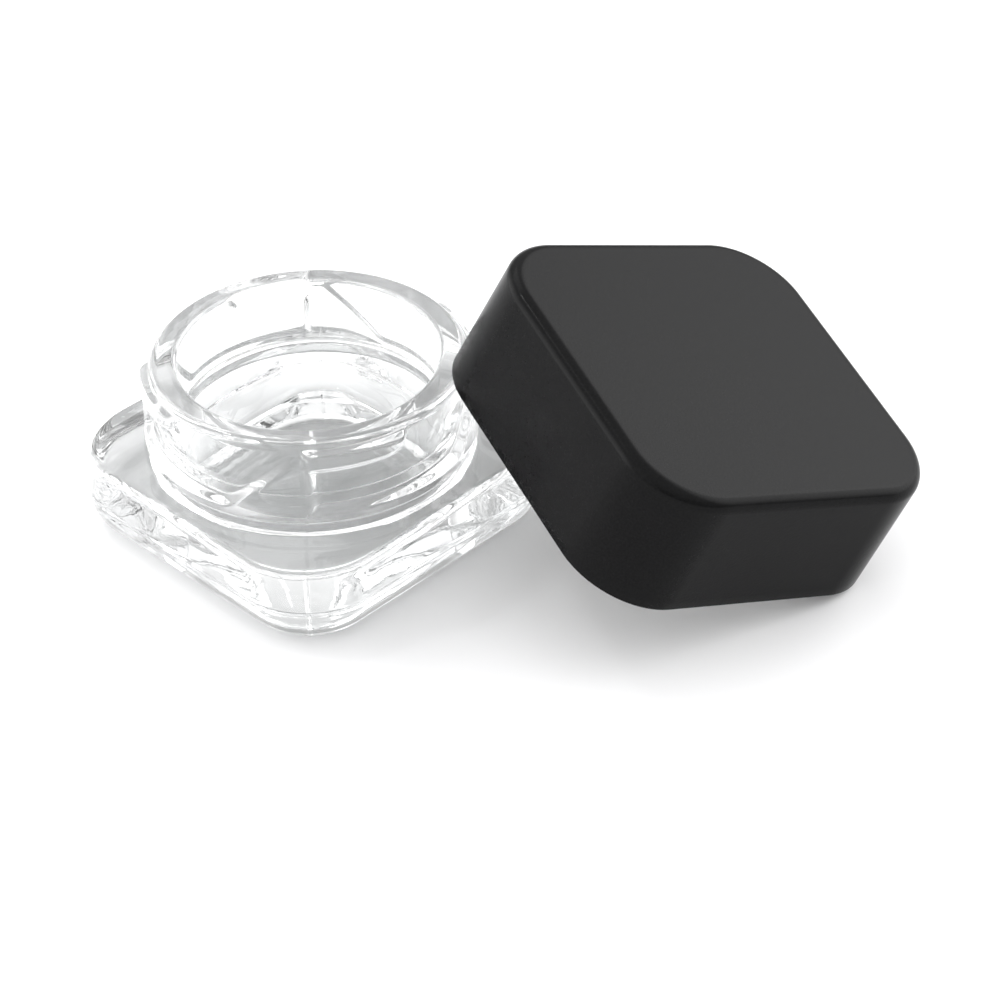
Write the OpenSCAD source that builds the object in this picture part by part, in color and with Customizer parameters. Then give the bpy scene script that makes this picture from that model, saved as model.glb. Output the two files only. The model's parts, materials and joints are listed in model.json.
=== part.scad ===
// Square glass specimen jar with a round bayonet neck, and its square
// push-and-turn cap, which lies off the jar and leans on the rim.
// Millimetres. +Z is up, and the origin is the middle of the jar's base.

/* [Jar body] */
// Width of the square body across its flats, at the shoulder
jar_w = 35; // [34:0.1:36]
// Radius of the body's upright corners
jar_corner = 7.6; // [6:0.1:9]
// Height of the square body up to its shoulder
body_h = 8.4; // [7.8:0.1:9.2]
// How far the body's sides lean in from shoulder to base, per side
body_taper = 0.2; // [0:0.05:0.6]
// Radius of the rounded edge round the base
base_round = 3.2; // [1:0.1:4]
// Radius of the rounded edge round the shoulder
shoulder_round = 0.9; // [0.4:0.1:1.2]

/* [Jar neck] */
// Height of the rim above the table
jar_h = 18.1; // [17.9:0.05:18.1]
// Outer radius of the plain neck
neck_r = 14.95; // [14.5:0.05:15.1]
// Radius of the plain foot below the band
neck_foot_r = 15.45; // [15.2:0.05:15.6]
// Radius of the bore inside the neck
bore_r = 12.3; // [11.8:0.1:12.8]
// Depth of the straight bore below the rim
bore_depth = 6.9; // [5:0.1:8]
// Glass left under the bowl
floor_t = 4.4; // [3.4:0.1:5]
// Radius of the curve from the bore's wall to the bowl's floor
bowl_round = 6.4; // [4:0.1:6.5]

/* [Bayonet grooves] */
// Radius over the raised band that the grooves are cut in
band_r = 15.8; // [15.6:0.05:15.8]
// Height of the band's top edge
band_top = 17.4; // [17.2:0.05:17.5]
// Height of the grooves' floor
groove_low = 11.2; // [10.8:0.05:11.6]
// Height of the keepers' underside, which holds the cap's tabs down
keeper_low = 15.4; // [15:0.1:15.7]
// Height of the top of each ramp, which leads a tab down to the floor
ramp_top = 16.4; // [16:0.05:16.6]
// Angle from a body corner to each groove's end wall
wall_angle = 3.5; // [1:0.5:5]
// Angle from a body corner to the end of each keeper
keeper_angle = 34; // [30:1:38]
// Angle that each ramp takes up before the next body corner
ramp_angle = 28; // [24:0.5:32]

/* [Cap] */
// Width of the cap across its flats, at the skirt's edge
cap_w = 34.75; // [34.5:0.05:34.75]
// Height of the cap
cap_h = 13; // [12.8:0.1:14]
// Radius of the cap's upright corners
cap_corner = 7.7; // [7.5:0.1:7.7]
// How far the skirt leans in from edge to top, per side
cap_taper = 0.2; // [0:0.05:0.3]
// Radius of the rounded edge round the cap's top
cap_round = 1.2; // [0.6:0.1:1.6]
// Thickness of the skirt's wall at its edge
skirt_t = 0.95; // [0.85:0.05:1.1]
// Thickness of the cap's top
top_t = 1.2; // [1:0.1:1.6]

/* [Cap's inner parts] */
// Inner radius of the insert's ring, which clears the band
ring_r = 15.95; // [15.9:0.05:16]
// Thickness of the insert's ring
ring_t = 1.2; // [1:0.1:1.4]
// Thickness of the insert's plate under the cap's top
plate_t = 0.8; // [0.6:0.1:1]
// How far the insert stands back from the skirt's edge
insert_setback = 0.9; // [0.6:0.1:1]
// Height of the tabs' top faces above the skirt's edge
tab_top = 6.7; // [6.5:0.05:6.7]
// Height of each tab
tab_t = 2; // [1:0.1:2.5]
// Angle round the cap that each tab takes up
tab_angle = 7; // [5:1:8]
// Angle from a cap corner to the middle of each tab
tab_heading = 15; // [10:1:22]
// Thickness of the sealing liner
liner_t = 0.8; // [0.6:0.1:1]
// Travel of the liner against its spring
press_travel = 1.3; // [1:0.1:1.4]
// Thickness of the spring disc
spring_t = 0.4; // [0.3:0.05:0.5]
// Number of slots in the spring disc
spring_slots = 8; // [6:1:10]

/* [Where the cap lies] */
// Distance from the jar's axis to the middle of the cap's skirt edge
cap_reach = 33.05; // [33.05:0.05:35]
// Direction from the jar's axis to the cap, from +X
cap_bearing = -57.8; // [-58:0.1:-57.6]
// Angle that the cap's axis leans from upright
cap_lean = 25.7; // [25.7:0.1:26.2]
// Direction that the cap's axis leans towards, from +X
lean_heading = -52.5; // [-52.5:0.5:-52]
// Turn of the cap about its own axis
cap_turn = 37.7; // [37.6:0.1:37.8]

/* [Hidden] */
$fn = 96;
ARC_STEPS = 6;         // straight steps in each small rounded edge
FIT_GAP = 0.05;        // between pressed parts of the cap
GROOVES = 4;
neck_embed = 0.6;      // how far the band's root runs into the neck's wall
rim_round = 0.9;       // rounded outer edge of the rim
mouth_round = 0.5;     // rounded inner edge of the rim
foot_h = 1.2;          // height of the plain foot below the band
plate_top = cap_h - top_t - FIT_GAP;
plate_z = plate_top - plate_t;
liner_z = plate_z - spring_t - press_travel - 0.2 - liner_t;
liner_r = ring_r - 0.15;
spring_hole_r = 6;
cavity_half = cap_w / 2 - skirt_t;
skirt_bevel = 0.15;
// The skirt's lowest corner stands on the table, which sets the cap's height.
skirt_reach = (cap_w / 2 - cap_corner) * (cos(cap_turn) + sin(cap_turn)) + cap_corner - skirt_bevel;
cap_z = skirt_reach * sin(cap_lean);

// Points of a quarter round about [cx, cy], from angle a0 to a1.
function arc(cx, cy, r, a0, a1, steps = ARC_STEPS) =
    [for (i = [0:steps]) let (a = a0 + (a1 - a0) * i / steps) [cx + r * cos(a), cy + r * sin(a)]];

// A block with a square plan and round upright corners. The edge is a list
// of [inset from the side, height] points, from the bottom to the top.
module square_block(width, corner, edge) {
    half = width / 2;
    flat = width - 2 * corner;
    low = edge[0][1];
    high = edge[len(edge) - 1][1];
    right = [for (p = edge) [half - p[0], p[1]]];
    left = [for (i = [len(edge) - 1:-1:0]) [edge[i][0] - half, edge[i][1]]];
    for (turn = [0, 90])
        rotate([90, 0, turn])
            linear_extrude(flat, center = true) polygon(concat(right, left));
    for (turn = [0:90:270])
        rotate(turn)
            translate([flat / 2, flat / 2, 0])
                rotate_extrude(angle = 90)
                    polygon(concat([[0, low]], [for (p = edge) [corner - p[0], p[1]]], [[0, high]]));
}

// A sector of a ring, centred on angle 0.
module ring_sector(r_in, r_out, low, high, angle) {
    rotate(-angle / 2)
        rotate_extrude(angle = angle)
            polygon([[r_in, low], [r_out, low], [r_out, high], [r_in, high]]);
}

// The space above a ramp, as a flat outline seen from outside the neck.
// The ramp ends at angle 0, where a body corner and a keeper start.
module ramp_space() {
    landing = 4;
    middle = -ramp_angle / 2;
    run = function (angle) band_r * sin(angle - middle);
    foot = run(-ramp_angle);
    top = run(-landing);
    start = 0.2;
    start_run = foot + start * (top - foot) / (ramp_top - groove_low);
    rotate(middle)
        rotate([90, 0, 90])
            translate([0, 0, neck_r - 3])
                linear_extrude(6)
                    polygon([[foot - 2, groove_low + 2], [start_run, groove_low + start],
                             [top, ramp_top], [run(0), ramp_top + 0.2],
                             [run(0), jar_h], [foot - 2, jar_h]]);
}

// The raised band round the neck, with four grooves. A cap's tab drops in
// past the ramp and turns clockwise under the keeper, up to the end wall.
module bayonet_band() {
    bevel = 0.4;
    low_bevel = 0.5;
    low = body_h + foot_h - 0.05;
    entry = 90 - ramp_angle - 2 - keeper_angle;
    pocket = 90 - ramp_angle + 1.5 - wall_angle;
    difference() {
        rotate_extrude()
            polygon([[neck_r - neck_embed, low], [band_r - low_bevel, low], [band_r, low + low_bevel],
                     [band_r, band_top - bevel], [band_r - bevel, band_top], [neck_r - neck_embed, band_top]]);
        for (i = [0:GROOVES - 1])
            rotate(i * 360 / GROOVES + 45) {
                rotate(wall_angle + pocket / 2)
                    ring_sector(neck_r - 1, band_r + 1, groove_low, keeper_low, pocket);
                rotate(keeper_angle + entry / 2)
                    ring_sector(neck_r - 1.3, band_r + 1.3, keeper_low - 0.6, jar_h, entry);
                ramp_space();
            }
    }
}

module jar_body() {
    edge = concat(
        arc(base_round + body_taper, base_round, base_round, -90, -180),
        arc(shoulder_round, body_h - shoulder_round, shoulder_round, 180, 90));
    square_block(jar_w, jar_corner, edge);
}

module neck_blank() {
    rotate_extrude()
        polygon(concat(
            [[0, body_h - 1], [neck_foot_r, body_h - 1]],
            [[neck_foot_r, body_h + foot_h + 0.4], [neck_r, body_h + foot_h + 0.4]],
            arc(neck_r - rim_round, jar_h - rim_round, rim_round, 0, 90),
            [[0, jar_h]]));
}

// The bowl, with its round mouth: a straight bore over a rounded floor.
module jar_cavity() {
    bore_z = jar_h - bore_depth;
    rotate_extrude()
        polygon(concat(
            [[0, floor_t]],
            arc(bore_r - bowl_round, floor_t + bowl_round, bowl_round, -90, 0, 12),
            [[bore_r, bore_z]],
            arc(bore_r + mouth_round, jar_h - mouth_round, mouth_round, 180, 90),
            [[bore_r + mouth_round, jar_h + 1], [0, jar_h + 1]]));
}

module glass_jar() {
    color([0.86, 0.93, 0.93, 0.4])
        difference() {
            union() {
                jar_body();
                neck_blank();
                bayonet_band();
            }
            jar_cavity();
        }
}

// Puts a part that is drawn upright on the origin where the cap lies.
module lay_cap() {
    translate([cap_reach * cos(cap_bearing), cap_reach * sin(cap_bearing), cap_z])
        rotate([0, 0, lean_heading])
            rotate([0, cap_lean, 0])
                rotate([0, 0, cap_turn])
                    children();
}

module outer_cap() {
    edge = concat([[skirt_bevel, 0], [0, skirt_bevel]],
        arc(cap_taper + cap_round, cap_h - cap_round, cap_round, 180, 90));
    color([0.16, 0.16, 0.17])
        lay_cap()
            difference() {
                square_block(cap_w, cap_corner, edge);
                square_block(cap_w - 2 * skirt_t, cap_corner - skirt_t, [[0, -1], [0, cap_h - top_t]]);
            }
}

// Ring with four tabs and a plate, keyed into the square skirt.
module bayonet_insert() {
    half = cavity_half - FIT_GAP;
    web_t = 1;
    web_reach = sqrt(2) * (half - cap_corner + skirt_t) + cap_corner - skirt_t - 0.3;
    color([0.2, 0.2, 0.21])
        lay_cap() {
            difference() {
                union() {
                    intersection() {
                        translate([0, 0, insert_setback]) cylinder(h = plate_top - insert_setback, r = ring_r + ring_t);
                        translate([-half, -half, 0]) cube([2 * half, 2 * half, cap_h]);
                    }
                    for (turn = [45:90:315])
                        rotate(turn)
                            translate([ring_r + ring_t / 2, -web_t / 2, insert_setback + 1])
                                cube([web_reach - ring_r - ring_t / 2, web_t, plate_top - insert_setback - 1]);
                }
                translate([0, 0, insert_setback - 1]) cylinder(h = plate_z - insert_setback + 1, r = ring_r);
            }
            for (i = [0:GROOVES - 1])
                rotate(i * 360 / GROOVES + 45 + tab_heading)
                    ring_sector(neck_r + 0.15, ring_r + ring_t / 2, tab_top - tab_t, tab_top, tab_angle);
        }
}

// Slotted dome that pushes the liner down on the rim.
module spring_disc() {
    low = liner_z + liner_t + FIT_GAP;
    high = plate_z - FIT_GAP - spring_t;
    outer = liner_r - 1.2;
    color([0.9, 0.9, 0.87])
        lay_cap()
            difference() {
                rotate_extrude()
                    polygon([[spring_hole_r, high], [spring_hole_r + 2, high], [outer - 2, low], [outer, low],
                             [outer, low + spring_t], [outer - 1.8, low + spring_t],
                             [spring_hole_r + 2.2, high + spring_t], [spring_hole_r, high + spring_t]]);
                for (i = [0:spring_slots - 1])
                    rotate(i * 360 / spring_slots)
                        translate([spring_hole_r - 1, -0.6, low - 1])
                            cube([outer - spring_hole_r - 0.8, 1.2, high - low + 3]);
            }
}

module seal_liner() {
    color([0.94, 0.94, 0.92])
        lay_cap()
            translate([0, 0, liner_z]) cylinder(h = liner_t, r = liner_r);
}

glass_jar();
outer_cap();
bayonet_insert();
spring_disc();
seal_liner();
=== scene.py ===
# A square clear-glass specimen jar with a bayonet neck, and its square black cap
# lying against it. Metres. The jar's base stands on z = 0 and +Z is up.
import json
import math

import bpy
import numpy as np
from mathutils import Matrix, Quaternion, Vector


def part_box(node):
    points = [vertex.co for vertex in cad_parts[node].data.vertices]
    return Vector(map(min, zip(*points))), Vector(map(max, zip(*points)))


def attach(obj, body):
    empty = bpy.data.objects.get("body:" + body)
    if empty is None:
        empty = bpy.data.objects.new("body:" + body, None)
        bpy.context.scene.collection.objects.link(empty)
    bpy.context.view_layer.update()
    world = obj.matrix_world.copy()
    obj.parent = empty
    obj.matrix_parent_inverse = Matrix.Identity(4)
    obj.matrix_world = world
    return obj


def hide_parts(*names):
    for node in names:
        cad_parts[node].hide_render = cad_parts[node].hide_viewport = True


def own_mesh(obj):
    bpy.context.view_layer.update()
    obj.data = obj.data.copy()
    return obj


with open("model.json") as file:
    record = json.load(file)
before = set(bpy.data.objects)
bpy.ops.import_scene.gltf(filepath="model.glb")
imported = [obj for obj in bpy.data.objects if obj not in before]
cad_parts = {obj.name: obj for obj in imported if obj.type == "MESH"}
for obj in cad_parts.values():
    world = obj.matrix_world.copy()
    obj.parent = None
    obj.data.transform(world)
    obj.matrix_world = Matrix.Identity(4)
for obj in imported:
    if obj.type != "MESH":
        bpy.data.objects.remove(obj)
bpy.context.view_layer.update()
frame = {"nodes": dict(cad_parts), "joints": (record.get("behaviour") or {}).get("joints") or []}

MM = 0.001
QUARTER = math.pi / 2
COLUMN_ANGLES = np.radians(np.arange(0, 360, 0.75))   # the columns of a revolved skin


# ---------------------------------------------------------------- outlines

def arc(centre, radius, start, end, steps):
    """Points of a round edge in (out, up), in millimetres, with angles in degrees."""
    turns = np.radians(np.linspace(start, end, steps + 1))
    return [(centre[0] + radius * math.cos(t), centre[1] + radius * math.sin(t)) for t in turns]


def straight(start, end, steps, with_end=False):
    """Evenly spaced points after start and up to end, which is left out unless asked for."""
    stops = np.linspace(0, 1, steps + 1)[1:steps + 1 if with_end else steps]
    return [tuple(np.array(start) + (np.array(end) - np.array(start)) * s) for s in stops]


def square_reach(angles, half, corner):
    """Distance from the middle of a rounded square to its edge, along each angle."""
    off_axis = np.abs((angles + QUARTER / 2) % QUARTER - QUARTER / 2)
    flat = half - corner
    spread = np.cos(off_axis) + np.sin(off_axis)
    inside = np.maximum(flat ** 2 * spread ** 2 - 2 * flat ** 2 + corner ** 2, 0)
    on_flat = half * np.tan(off_axis) <= flat
    return np.where(on_flat, half / np.cos(off_axis), flat * spread + np.sqrt(inside))


def soft_step(value):
    """0 below 0, 1 above 1, smooth between."""
    t = np.clip(value, 0, 1)
    return t * t * (3 - 2 * t)


def polygon_distance(x, y, corners):
    """Signed distance from each point to a closed outline: negative inside it."""
    nearest = np.full(x.shape, 1e9)
    inside = np.zeros(x.shape, bool)
    for (ax, ay), (bx, by) in zip(corners, corners[1:] + corners[:1]):
        ex, ey = bx - ax, by - ay
        along = np.clip(((x - ax) * ex + (y - ay) * ey) / (ex * ex + ey * ey), 0, 1)
        nearest = np.minimum(nearest, np.hypot(x - ax - along * ex, y - ay - along * ey))
        if ay != by:
            crosses = ((ay > y) != (by > y)) & (x < ax + (y - ay) * ex / ey)
            inside ^= crosses
    return np.where(inside, -nearest, nearest)


# ---------------------------------------------------------------- meshes

def revolved_mesh(name, rings, angles, place=None):
    """A closed skin from rings of (distances, heights) in millimetres, pole to pole."""
    rows = len(rings)
    columns = len(angles)
    reach = np.array([np.broadcast_to(r, columns) for r, _ in rings])
    height = np.array([np.broadcast_to(z, columns) for _, z in rings])
    points = np.stack([reach * np.cos(angles), reach * np.sin(angles), height], axis=-1)
    first = points[0].mean(axis=0)
    last = points[-1].mean(axis=0)
    body = points[1:-1].reshape(-1, 3)
    verts = np.vstack([body, first, last]) * MM
    column = np.arange(columns)
    following = (column + 1) % columns
    low_pole, high_pole = len(body), len(body) + 1
    faces = [(low_pole, b, a) for a, b in zip(column, following)]
    for row in range(rows - 3):
        base = row * columns
        faces += [(base + a, base + b, base + columns + b, base + columns + a)
                  for a, b in zip(column, following)]
    top = (rows - 3) * columns
    faces += [(high_pole, top + a, top + b) for a, b in zip(column, following)]
    mesh = bpy.data.meshes.new(name)
    mesh.from_pydata(verts.tolist(), [], [tuple(int(i) for i in f) for f in faces])
    mesh.polygons.foreach_set("use_smooth", [True] * len(mesh.polygons))
    if place is not None:
        mesh.transform(place)
    mesh.validate()
    piece = bpy.data.objects.new(name, mesh)
    bpy.context.collection.objects.link(piece)
    return piece


# ---------------------------------------------------------------- shader maths

class Signal:
    """A shader socket that ordinary arithmetic works on."""

    def __init__(self, finish, socket):
        self.finish = finish
        self.socket = socket

    def _math(self, operation, first, second):
        return self.finish.node("ShaderNodeMath", {"operation": operation}, {0: first, 1: second})

    def __add__(self, other):
        return self._math("ADD", self, other)

    __radd__ = __add__

    def __mul__(self, other):
        return self._math("MULTIPLY", self, other)

    __rmul__ = __mul__


class Tree:
    """A node tree under construction."""

    def __init__(self, tree):
        self.tree = tree
        self.tree.nodes.clear()

    def plug(self, socket, value):
        if isinstance(value, Signal):
            self.tree.links.new(value.socket, socket)
        else:
            socket.default_value = value

    def node(self, kind, settings=None, inputs=None, output=0):
        made = self.tree.nodes.new(kind)
        for key, value in (settings or {}).items():
            setattr(made, key, value)
        for key, value in (inputs or {}).items():
            self.plug(made.inputs[key], value)
        return Signal(self, made.outputs[output])

    def lean_towards(self, direction, heading):
        """How nearly a direction points along a heading: 1 is straight along it."""
        return self.node("ShaderNodeVectorMath", {"operation": "DOT_PRODUCT"},
                         {0: direction, 1: Vector(heading).normalized()}, output="Value")

    def spread(self, value, low, high, to_low=0.0, to_high=1.0):
        """Value from low to high becomes to_low to to_high, smooth and held at the ends."""
        return self.node("ShaderNodeMapRange", {"interpolation_type": "SMOOTHSTEP"},
                         {"Value": value, "From Min": low, "From Max": high,
                          "To Min": to_low, "To Max": to_high})


class Finish(Tree):
    """A material under construction, with its Principled shader."""

    def __init__(self, name, **constants):
        self.material = bpy.data.materials.new(name)
        self.material.use_nodes = True
        super().__init__(self.material.node_tree)
        output = self.tree.nodes.new("ShaderNodeOutputMaterial")
        self.shader = self.tree.nodes.new("ShaderNodeBsdfPrincipled")
        self.tree.links.new(self.shader.outputs[0], output.inputs["Surface"])
        for socket, value in constants.items():
            self.shader.inputs[socket.replace("_", " ")].default_value = value

    def feed(self, socket, value):
        self.plug(self.shader.inputs[socket], value)

    def place(self):
        return self.node("ShaderNodeTexCoord", output="Object")

    def noise(self, size_mm, detail=3.0, roughness=0.5):
        """Smooth random pattern from 0 to 1 whose spots are about size_mm across."""
        return self.node("ShaderNodeTexNoise", {"noise_dimensions": "3D"},
                         {"Vector": self.place(), "Scale": 1 / (size_mm * MM),
                          "Detail": detail, "Roughness": roughness})

    def bump(self, height, depth_mm, normal=None):
        """A normal that is disturbed by height, with peaks depth_mm tall."""
        inputs = {"Height": height, "Distance": depth_mm * MM, "Strength": 1.0}
        if normal is not None:
            inputs["Normal"] = normal
        return self.node("ShaderNodeBump", None, inputs)

    def between(self, factor, low, high):
        """A colour that runs from low to high as factor runs from 0 to 1."""
        return self.node("ShaderNodeMix", {"data_type": "RGBA"},
                         {0: factor, 6: (*low, 1), 7: (*high, 1)}, output=2)


# ---------------------------------------------------------------- finishes

def clear_glass():
    """Pressed clear glass: its lower body is greyed as painted shade, and it has faint waves from the
    mould.
    """
    glass = Finish("clear_glass", Roughness=0.0, IOR=1.5, Transmission_Weight=1.0)
    height = glass.node("ShaderNodeSeparateXYZ", None, {0: glass.place()}, output=2)
    # Painted shade: the Base Color is greyest below 4.5 mm and clears by 10.5 mm, standing in for the shade
    # under and inside the jar's body.
    painted_shade_top, painted_shade_clear_at = 4.5 * MM, 10.5 * MM
    out_of_painted_shade = glass.spread(height, painted_shade_top, painted_shade_clear_at)
    glass.feed("Base Color", glass.between(out_of_painted_shade, (0.69, 0.70, 0.70), (0.92, 0.925, 0.925)))
    waves = glass.noise(5.0, detail=1.0)
    ripples = glass.noise(0.9, detail=2.0)
    normal = glass.bump(waves, 0.05)
    glass.feed("Normal", glass.bump(ripples, 0.004, normal))
    return glass.material


def satin_black():
    """Moulded black plastic with the fine grain of a spark-eroded mould."""
    plastic = Finish("satin_black", IOR=1.10, Coat_Weight=0.10, Coat_Roughness=0.12)
    cloud = plastic.noise(6.0, detail=2.0)
    grain = plastic.noise(0.22, detail=2.0, roughness=0.6)
    plastic.feed("Base Color", plastic.between(cloud * 0.2 + grain * 0.8,
                                               (0.001, 0.001, 0.0011), (0.009, 0.009, 0.0094)))
    plastic.feed("Roughness", grain * 0.12 + cloud * 0.06 + 0.15)
    plastic.feed("Normal", plastic.bump(grain, 0.02))
    return plastic.material


def plain_black():
    """Moulded black plastic from a polished mould, with faint flow marks."""
    plastic = Finish("plain_black", IOR=1.5)
    flow = plastic.noise(2.5, detail=4.0)
    plastic.feed("Base Color", plastic.between(flow, (0.014, 0.014, 0.015), (0.022, 0.022, 0.023)))
    plastic.feed("Roughness", flow * 0.15 + 0.28)
    plastic.feed("Normal", plastic.bump(flow, 0.01))
    return plastic.material


def natural_plastic():
    """Undyed polyethylene: milky, with light passing a little way in."""
    plastic = Finish("natural_plastic", IOR=1.5, Subsurface_Weight=0.4, Subsurface_Scale=0.001)
    flow = plastic.noise(1.6, detail=3.0)
    plastic.feed("Base Color", plastic.between(flow, (0.78, 0.78, 0.74), (0.86, 0.86, 0.83)))
    plastic.feed("Roughness", flow * 0.1 + 0.38)
    plastic.feed("Normal", plastic.bump(flow, 0.01))
    return plastic.material


def white_foam():
    """Closed-cell foam under a smooth skin."""
    foam = Finish("white_foam", IOR=1.45)
    cell = 0.25
    cells = foam.node("ShaderNodeTexVoronoi", {"feature": "F1"},
                      {"Vector": foam.place(), "Scale": 1 / (cell * MM)})
    patches = foam.noise(3.0)
    foam.feed("Base Color", foam.between(cells * 0.5 + patches * 0.4, (0.80, 0.80, 0.78), (0.9, 0.9, 0.89)))
    foam.feed("Roughness", patches * 0.1 + 0.5)
    foam.feed("Normal", foam.bump(cells, 0.02))
    return foam.material


def white_table():
    """A matt white tabletop with the faintest mottle."""
    table = Finish("white_table", Roughness=0.7)
    mottle = table.noise(20.0)
    table.feed("Base Color", table.between(mottle, (0.88, 0.88, 0.885), (0.9, 0.9, 0.905)))
    return table.material


# ---------------------------------------------------------------- the jar

JAR_LOW, JAR_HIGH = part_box("glass_jar")
JAR_HALF = (JAR_HIGH[0] - JAR_LOW[0]) / 2 / MM
JAR_TOP = JAR_HIGH[2] / MM
BASE_CORNER = 7.2      # radius of the body's upright corners at the base
SHOULDER_CORNER = 8.4  # and at the shoulder
BODY_HEIGHT = 8.4
SIDE_LEAN = 0.1        # how far the sides lean in from the shoulder to the base
BASE_ROUND = (3.0, 3.6)            # width and height of the curve under the body
PARTING = 0.05         # how proud the mould's line stands at the top of that curve
PARTING_HEIGHT = 0.5   # height of that line
SHOULDER_ROUND = 0.9
NECK = 14.95           # radius at the bottom of the grooves
FOOT = 15.45           # radius of the plain foot below the band
BORE = 12.3
BOWL = 12.12           # radius of the wall below the bore's small step
STEP_ROUND = 0.1
STEP_HEIGHT = 11.5
FLOOR = 4.4            # glass under the bowl
BOWL_ROUND = 6.4
RIM_ROUND = 0.9
MOUTH_ROUND = 0.5
BAND = 15.8            # the raised band that the grooves are cut in
BAND_TOP = 17.45
BAND_TOP_EDGE = 0.45   # height of the rounded edge along its top
BAND_LOW = 9.65
BAND_LOW_EDGE = 0.35   # height of the bevel along its bottom
GROOVE_SLOPE = 0.85    # width of the sloping walls of the grooves
GROOVE_EVERY = 90      # degrees from one groove to the next
NECK_ROW = 0.12        # height of the rows of the skin up the neck
SEAM_PROUD = 0.09
SEAM_WIDTH = 0.2
SEAM_HEADING = math.radians(225)   # the mould's seams run down two opposite corners
SEAM_COLUMNS = np.radians([-0.4, -0.2, 0.2, 0.4])   # more columns beside each seam
ABOVE_RIM = 22         # any height that is clear of the rim

# One groove, as degrees round the neck from a body corner and heights: the pocket
# under the keeper, the way in from above, and the ramp that leads down into it.
GROOVE_OUTLINE = [(3.3, 11.15), (61, 11.15), (63.5, 11.4), (85, 16.3), (86, 16.5), (90.4, 16.55),
                  (90.4, ABOVE_RIM), (37.5, ABOVE_RIM), (36.5, 17), (35, 16.2), (32.5, 15.75),
                  (29.5, 15.55), (3.3, 15.4)]


def jar_angles():
    """Columns round the jar, closer together at the two mould seams."""
    at_seams = np.concatenate([SEAM_HEADING + SEAM_COLUMNS, SEAM_HEADING + math.pi + SEAM_COLUMNS])
    return np.unique(np.round(np.concatenate([COLUMN_ANGLES, at_seams % (2 * math.pi)]), 7))


def seam_ridge(angles, reach):
    """The thin raised line where the mould's halves met."""
    off = np.abs(np.sin(angles - SEAM_HEADING)) * reach
    return SEAM_PROUD * (1 - soft_step(off / SEAM_WIDTH))


def band_relief(angles, height):
    """How far the grooved band stands out of the neck along one ring."""
    turn = np.degrees(angles - SEAM_HEADING) % GROOVE_EVERY
    along = np.radians(turn) * NECK
    whole = math.radians(GROOVE_EVERY) * NECK
    corners = [(math.radians(a) * NECK, z) for a, z in GROOVE_OUTLINE]
    level = np.full(along.shape, height)
    distance = np.minimum(polygon_distance(along, level, corners),
                          np.minimum(polygon_distance(along + whole, level, corners),
                                     polygon_distance(along - whole, level, corners)))
    proud = BAND - NECK
    full = proud * min(max((BAND_TOP - height) / BAND_TOP_EDGE, 0), 1) ** 0.5
    low = FOOT - NECK + (BAND - FOOT) * min(max((height - BAND_LOW) / BAND_LOW_EDGE, 0), 1)
    slope = np.clip(0.5 + distance / GROOVE_SLOPE, 0, 1)
    return np.minimum(proud * (0.7 * slope + 0.3 * soft_step(slope)), min(full, low))


def jar_rings(angles):
    """The jar's skin as rings: under the base, up the outside, over the rim and into the bowl."""
    def square(inset, z):
        corner = BASE_CORNER + (SHOULDER_CORNER - BASE_CORNER) * soft_step(z / BODY_HEIGHT * 2 - 1)
        reach = square_reach(angles, JAR_HALF - inset, corner - inset)
        return reach + seam_ridge(angles, reach), z

    round_out, round_up = BASE_ROUND
    base_inset = SIDE_LEAN + round_out
    base = square_reach(angles, JAR_HALF - base_inset, BASE_CORNER - base_inset)
    rings = [(base * s, 0.0) for s in (0, 0.25, 0.5, 0.75, 0.95)]
    rings += [square(base_inset + round_out * math.cos(t), round_up + round_up * math.sin(t))
              for t in np.radians(np.linspace(-90, -180, 19))]
    for share, proud in ((0.2, 0.5), (0.4, 1), (0.6, 1), (0.8, 0.5), (1, 0)):
        rings.append(square(SIDE_LEAN - PARTING * proud, round_up + PARTING_HEIGHT * share))
    shoulder_low = BODY_HEIGHT - SHOULDER_ROUND
    rings += [square(*p) for p in straight((SIDE_LEAN, round_up + PARTING_HEIGHT), (0, shoulder_low), 9)]
    rings += [square(*p) for p in arc((SHOULDER_ROUND, shoulder_low), SHOULDER_ROUND, 180, 90, 8)]
    edge = square_reach(angles, JAR_HALF - SHOULDER_ROUND, SHOULDER_CORNER - SHOULDER_ROUND)
    edge = edge + seam_ridge(angles, edge)
    rings += [(edge + (FOOT - edge) * s, BODY_HEIGHT) for s in np.linspace(0, 1, 9)[1:-1]]
    rings += [(FOOT + out, BODY_HEIGHT + up) for out, up in ((0.25, 0.02), (0.08, 0.1), (0, 0.3))]
    rim_low = JAR_TOP - RIM_ROUND
    for z in np.arange(BODY_HEIGHT + 0.6, rim_low, NECK_ROW):
        rings.append((NECK + band_relief(angles, z) + seam_ridge(angles, NECK), z))
    for r, z in arc((NECK - RIM_ROUND, rim_low), RIM_ROUND, 0, 90, 12):
        rings.append((r + band_relief(angles, z), z))
    mouth_low = JAR_TOP - MOUTH_ROUND
    rings += arc((BORE + MOUTH_ROUND, mouth_low), MOUTH_ROUND, 90, 180, 7)
    rings += straight((BORE, mouth_low), (BORE, STEP_HEIGHT + 0.25), 8, with_end=True)
    rings += [(BORE - 0.02, STEP_HEIGHT + 0.1), (BORE - 0.05, STEP_HEIGHT + 0.04)]
    rings += arc((BOWL + STEP_ROUND, STEP_HEIGHT - STEP_ROUND), STEP_ROUND, 90, 180, 4)
    bowl_centre = (BOWL - BOWL_ROUND, FLOOR + BOWL_ROUND)
    rings += arc(bowl_centre, BOWL_ROUND, -1, -90, 26)
    rings += [(bowl_centre[0] * s, FLOOR) for s in (0.75, 0.5, 0.25, 0)]
    return rings


def make_jar():
    angles = jar_angles()
    jar = revolved_mesh("glass_jar_body", jar_rings(angles), angles)
    jar.data.materials.append(clear_glass())
    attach(jar, "jar")
    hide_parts("glass_jar")


# ---------------------------------------------------------------- the cap

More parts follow.
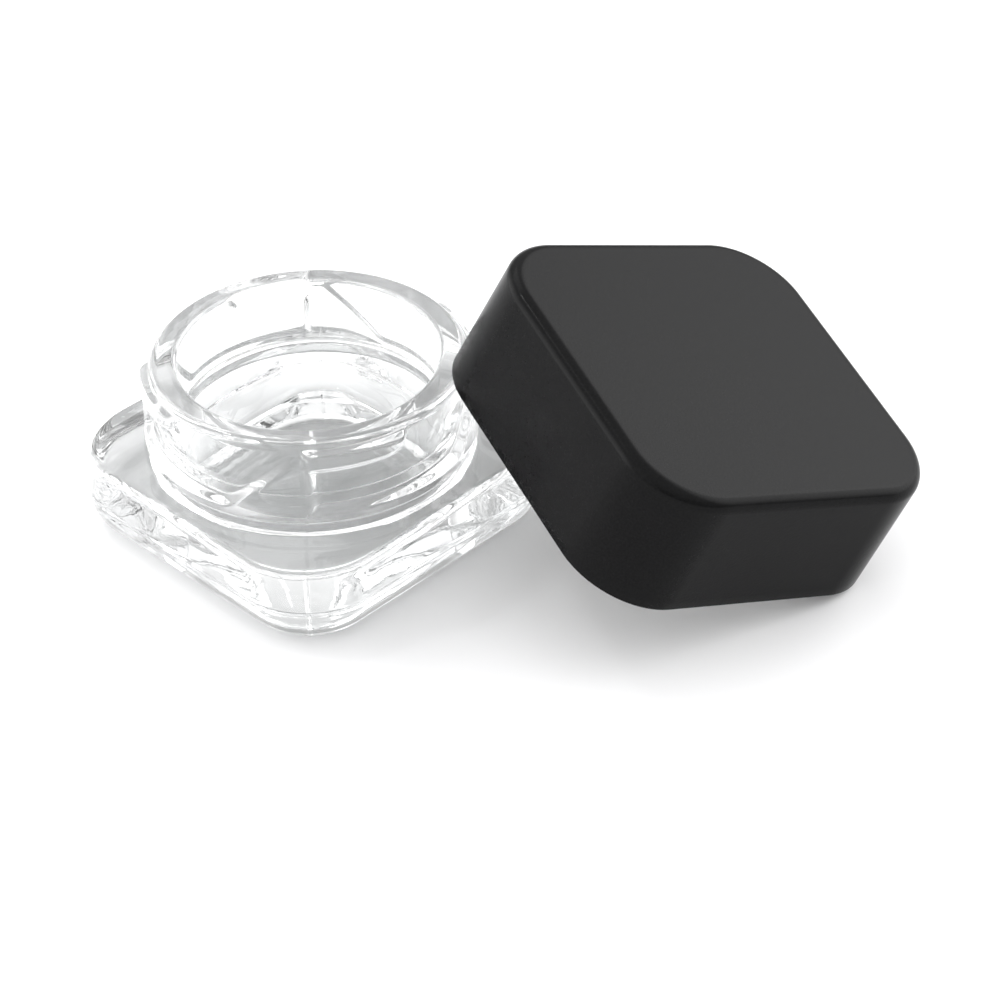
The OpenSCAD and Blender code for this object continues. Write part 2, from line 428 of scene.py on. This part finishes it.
CAP_WIDTH = 34.75
CAP_HEIGHT = 13.0
CAP_CORNER = 7.7
CAP_LEAN = 0.2         # how far the skirt leans in from edge to top
CAP_ROUND = 1.2
CAP_TURN = math.radians(37.7)   # the cap's turn about its own axis
SKIRT = 0.95           # thickness of the skirt
SKIRT_EDGE = 0.2       # radius of the skirt's outer edge
SKIRT_MOUTH = 0.15     # radius of the skirt's inner edge
ROOF_ROUND = 0.3       # radius of the corner where the skirt meets the roof
CAP_TOP = 1.2          # thickness of the cap's top
LINER_MIDDLE = 8.65    # height of the liner's middle above the skirt's edge


def cap_place():
    """Where the cap lies: its axis from the liner's joint, its place from the liner's box."""
    joint = next(j for j in frame["joints"] if j["name"] == "seal_press")
    axis = Vector(joint["axis"]).normalized()
    low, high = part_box("seal_liner")
    middle = (Vector(low) + Vector(high)) / 2
    lean = math.acos(axis.z)
    heading = math.atan2(axis.y, axis.x)
    turned = (Matrix.Rotation(heading, 4, "Z") @ Matrix.Rotation(lean, 4, "Y")
              @ Matrix.Rotation(CAP_TURN, 4, "Z"))
    return Matrix.Translation(middle - axis * LINER_MIDDLE * MM) @ turned


def make_cap():
    """The cap's shell: the roof inside, down the skirt, round its edge and over the top."""
    angles = COLUMN_ANGLES
    half = CAP_WIDTH / 2

    def outer(inset, z):
        return square_reach(angles, half - inset, CAP_CORNER - inset), z

    def inner(inset, z):
        return square_reach(angles, half - SKIRT - inset, CAP_CORNER - SKIRT - inset), z

    roof = square_reach(angles, half - SKIRT - ROOF_ROUND, CAP_CORNER - SKIRT - ROOF_ROUND)
    top_inset = CAP_LEAN + CAP_ROUND
    top = square_reach(angles, half - top_inset, CAP_CORNER - top_inset)
    roof_z = CAP_HEIGHT - CAP_TOP
    rings = [(roof * s, roof_z) for s in (0, 0.5, 0.96)]
    rings += [inner(*p) for p in arc((ROOF_ROUND, roof_z - ROOF_ROUND), ROOF_ROUND, 90, 180, 3)]
    rings += [inner(0, z) for z in (6, 1)]
    rings += [inner(*p) for p in arc((-SKIRT_MOUTH, SKIRT_MOUTH), SKIRT_MOUTH, 0, -90, 3)]
    rings += [outer(*p) for p in arc((SKIRT_EDGE, SKIRT_EDGE), SKIRT_EDGE, -90, -180, 4)]
    side_top = CAP_HEIGHT - CAP_ROUND
    rings += [outer(*p) for p in straight((0, SKIRT_EDGE), (CAP_LEAN, side_top), 12)]
    rings += [outer(*p) for p in arc((top_inset, side_top), CAP_ROUND, 180, 90, 14)]
    rings += [(top * s, CAP_HEIGHT) for s in (0.99, 0.9, 0.6, 0.3, 0)]
    cap = revolved_mesh("cap_shell", rings, angles, cap_place())
    cap.data.materials.append(satin_black())
    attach(cap, "cap")
    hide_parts("outer_cap")


def make_spring():
    """The slotted spring disc, copied as built with its own finish. The real disc flattens against the
    plate as the liner is pressed up; this copy keeps the built shape.
    """
    built = frame["nodes"]["spring_disc"]
    spring = bpy.data.objects.new("spring_dome", built.data.copy())
    bpy.context.collection.objects.link(spring)
    spring.matrix_world = built.matrix_world.copy()
    spring.data.materials.clear()
    spring.data.materials.append(natural_plastic())
    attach(spring, "cap")
    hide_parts("spring_disc")
    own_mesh(spring)


def finish_inner_parts():
    """The insert and the liner keep their built shapes and get their own finishes."""
    for node, material in (("bayonet_insert", plain_black()), ("seal_liner", white_foam())):
        for slot in frame["nodes"][node].material_slots:
            slot.material = material


# ---------------------------------------------------------------- the studio

VIEW_TARGET = Vector((0.01285, -0.01195, 0))   # the point on the table that the camera faces
VIEW_DISTANCE = 0.3172
VIEW_HEADING = math.radians(44.83)   # from +Y towards +X
VIEW_DROP = math.radians(36.35)
VIEW_TILT = math.radians(-1.5)       # how far the camera leans over sideways
LENS = 118.25
SENSOR_WIDTH = 36


def make_table():
    mesh = bpy.data.meshes.new("table")
    reach = 3.0
    level = -0.00005   # just below the jar's base
    corners = [(-1, -1), (1, -1), (1, 1), (-1, 1)]
    mesh.from_pydata([(x * reach, y * reach, level) for x, y in corners], [], [(0, 1, 2, 3)])
    table = bpy.data.objects.new("table", mesh)
    bpy.context.collection.objects.link(table)
    mesh.materials.append(white_table())


def make_camera():
    data = bpy.data.cameras.new("camera")
    data.lens = LENS
    data.sensor_width = SENSOR_WIDTH
    data.clip_start = 0.01
    camera = bpy.data.objects.new("camera", data)
    bpy.context.collection.objects.link(camera)
    forward = Vector((math.sin(VIEW_HEADING) * math.cos(VIEW_DROP),
                      math.cos(VIEW_HEADING) * math.cos(VIEW_DROP), -math.sin(VIEW_DROP)))
    camera.location = VIEW_TARGET - forward * VIEW_DISTANCE
    level = forward.to_track_quat("-Z", "Y")
    camera.rotation_euler = (level @ Quaternion((0, 0, 1), VIEW_TILT)).to_euler()
    bpy.context.scene.camera = camera


def make_softbox(name, place, target, size, power):
    data = bpy.data.lights.new(name, "AREA")
    data.shape = "RECTANGLE"
    data.size, data.size_y = size
    data.energy = power
    lamp = bpy.data.objects.new(name, data)
    bpy.context.collection.objects.link(lamp)
    lamp.location = place
    lamp.rotation_euler = (Vector(target) - Vector(place)).to_track_quat("-Z", "Y").to_euler()


def make_surroundings():
    """A dim room with a pale ceiling and three pale walls, for the glass and the satin cap to mirror."""
    world = bpy.data.worlds.new("studio")
    world.use_nodes = True
    room = Tree(world.node_tree)
    facing = room.node("ShaderNodeTexCoord", output="Generated")
    ceiling = room.spread(room.lean_towards(facing, (0, 0, 1)), 0.05, 0.85, 0.0, 0.95)
    wall = room.spread(room.lean_towards(facing, (0.86, -0.3, 0.40)), 0.75, 1.0, 0.0, 3.0)
    back = room.spread(room.lean_towards(facing, (-0.45, 0.88, 0.03)), 0.7, 1.0, 0.0, 3.4)
    near = room.spread(room.lean_towards(facing, (-0.95, 0.25, 0.15)), 0.7, 1.0, 0.0, 0.8)
    dim = 0.43
    light = room.node("ShaderNodeBackground", None,
                      {"Color": ceiling + wall + back + near + dim, "Strength": 1.0})
    output = room.tree.nodes.new("ShaderNodeOutputWorld")
    room.tree.links.new(light.socket, output.inputs["Surface"])
    bpy.context.scene.world = world


def make_studio():
    """The table, the room's light and three lamps. Glass needs more bounces of light than usual."""
    make_table()
    make_surroundings()
    middle = (0.012, -0.012, 0)
    make_softbox("window", (0.15, 0.35, 0.45), middle, (0.30, 0.30), 0.34)
    make_softbox("lamp", (-0.08, 0.21, 0.44), middle, (0.03, 0.03), 0.13)
    make_softbox("side_card", (0.38, 0.02, 0.24), middle, (0.25, 0.20), 0.14)
    light_paths = bpy.context.scene.cycles
    light_paths.max_bounces = 24
    light_paths.glossy_bounces = 16
    light_paths.transmission_bounces = 24
    bpy.context.scene.view_settings.view_transform = "Standard"


make_camera()
make_studio()
make_jar()
make_cap()
make_spring()
finish_inner_parts()
